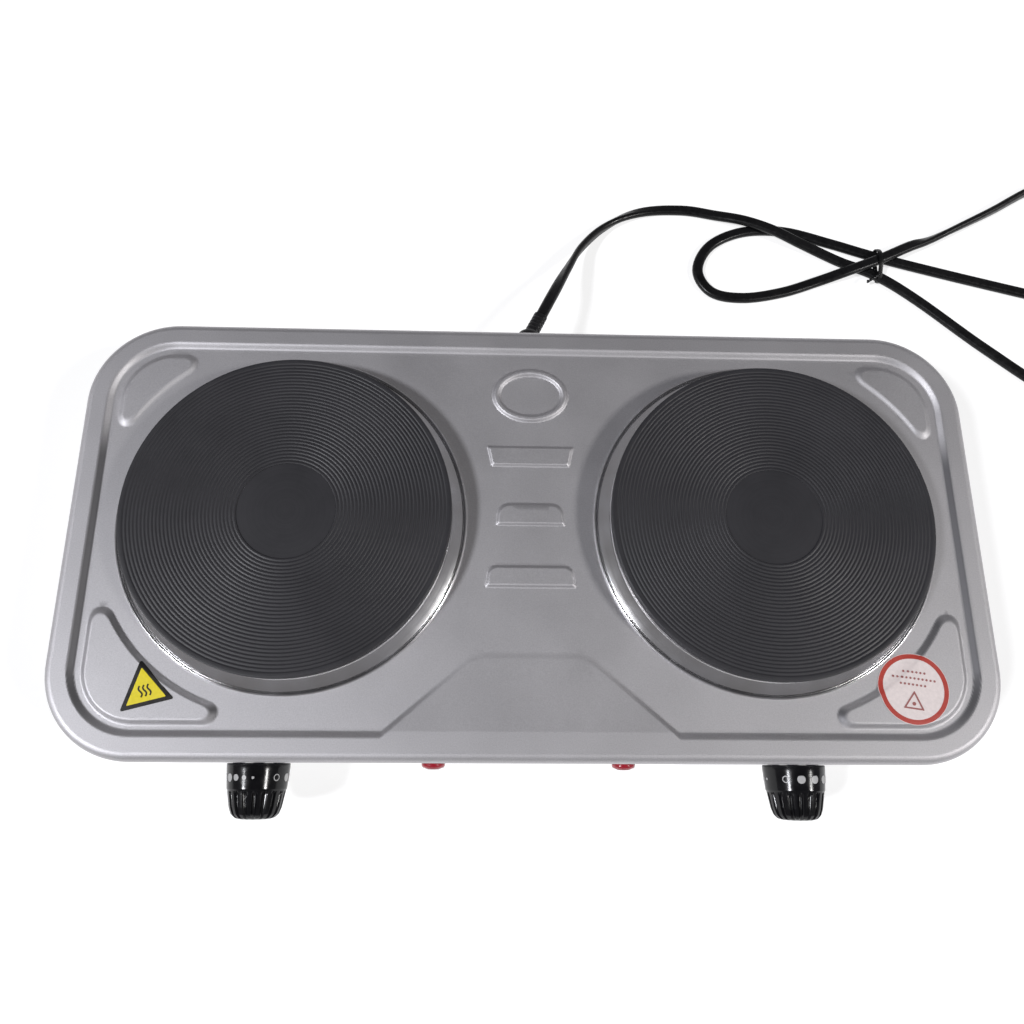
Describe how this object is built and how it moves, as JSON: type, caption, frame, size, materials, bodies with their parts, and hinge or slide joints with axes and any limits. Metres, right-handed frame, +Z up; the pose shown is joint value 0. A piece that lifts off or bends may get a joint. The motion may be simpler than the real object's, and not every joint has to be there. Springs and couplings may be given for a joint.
{
  "type": "hot plate burner",
  "caption": "Two-plate electric table cooker: pressed steel housing, grooved cast-iron plates in bright trim rings, rotary thermostat knobs, lamps and a mains cord.",
  "frame": {"origin": "centre of the footprint of housing and knobs, on the surface the feet stand on", "axes": "+Z up, -Y towards the knob side, +X to the right seen from the knob side"},
  "size_m": [0.703, 0.442, 0.076],
  "materials": {
    "steel_sheet": "silver lacquered pressed steel",
    "galvanised": "plain zinc-plated sheet",
    "fastener": "zinc-plated screws, nuts and studs",
    "foot_rubber": "matt black rubber",
    "cast_iron": "grooved cast iron with black heat-proof coat",
    "trim_steel": "polished stainless steel",
    "coil_wire": "oxidised resistance wire",
    "ceramic": "unglazed steatite",
    "brass": "plain brass",
    "shaft_steel": "turned steel",
    "knob_plastic": "gloss black phenolic with white printed dots",
    "lens_red": "red translucent lens",
    "white_plastic": "natural polyamide",
    "lead_sleeve": "varnished glass-fibre sleeve",
    "cord_pvc": "satin black PVC",
    "bush_rubber": "moulded black PVC",
    "label_yellow": "printed yellow film label",
    "label_red": "printed pale film label with a red ring"
  },
  "bodies": {
    "cooker": {"top_housing": "steel_sheet", "base_plate": "galvanised", "base_screws": "fastener", "foot_front_left": "foot_rubber", "foot_front_right": "foot_rubber", "foot_rear_left": "foot_rubber", "foot_rear_right": "foot_rubber", "foot_screws": "fastener", "plate_studs": "fastener", "plate_nuts": "fastener", "plate_tags": "brass", "thermostat_screws": "fastener", "thermostat_rivets": "fastener", "lamp_clips": "galvanised", "terminal_block": "white_plastic", "terminal_screws": "brass", "inner_cord": "cord_pvc", "supply_leads": "lead_sleeve", "plate_leads": "lead_sleeve", "lamp_leads": "lead_sleeve", "strain_relief": "bush_rubber", "mains_cord": "cord_pvc", "cord_tie": "cord_pvc", "plug_body": "cord_pvc", "plug_blades": "brass", "caution_label_left": "label_yellow", "caution_label_right": "label_red", "hot_plate_left": "cast_iron", "trim_ring_left": "trim_steel", "heating_coil_left": "coil_wire", "coil_ceramic_left": "ceramic", "plate_pan_left": "galvanised", "plate_bridge_left": "galvanised", "terminal_ceramic_left": "ceramic", "thermostat_bracket_left": "galvanised", "thermostat_stack_left": "ceramic", "bimetal_strip_left": "brass", "contact_strip_left": "brass", "lamp_lens_left": "lens_red", "lamp_body_left": "white_plastic", "hot_plate_right": "cast_iron", "trim_ring_right": "trim_steel", "heating_coil_right": "coil_wire", "coil_ceramic_right": "ceramic", "plate_pan_right": "galvanised", "plate_bridge_right": "galvanised", "terminal_ceramic_right": "ceramic", "thermostat_bracket_right": "galvanised", "thermostat_stack_right": "ceramic", "bimetal_strip_right": "brass", "contact_strip_right": "brass", "lamp_lens_right": "lens_red", "lamp_body_right": "white_plastic"},
    "left_knob": {"knob_left": "knob_plastic", "thermostat_shaft_left": "shaft_steel"},
    "right_knob": {"knob_right": "knob_plastic", "thermostat_shaft_right": "shaft_steel"}
  },
  "joints": [
    {"name": "left_knob_turn", "type": "hinge", "parent": "cooker", "child": "left_knob", "pos_m": [-0.1475, -0.1115, 0.033], "axis": [0, 1, 0], "range_deg": [0, 300]},
    {"name": "right_knob_turn", "type": "hinge", "parent": "cooker", "child": "right_knob", "pos_m": [0.1475, -0.1115, 0.033], "axis": [0, 1, 0], "range_deg": [0, 300]}
  ]
}
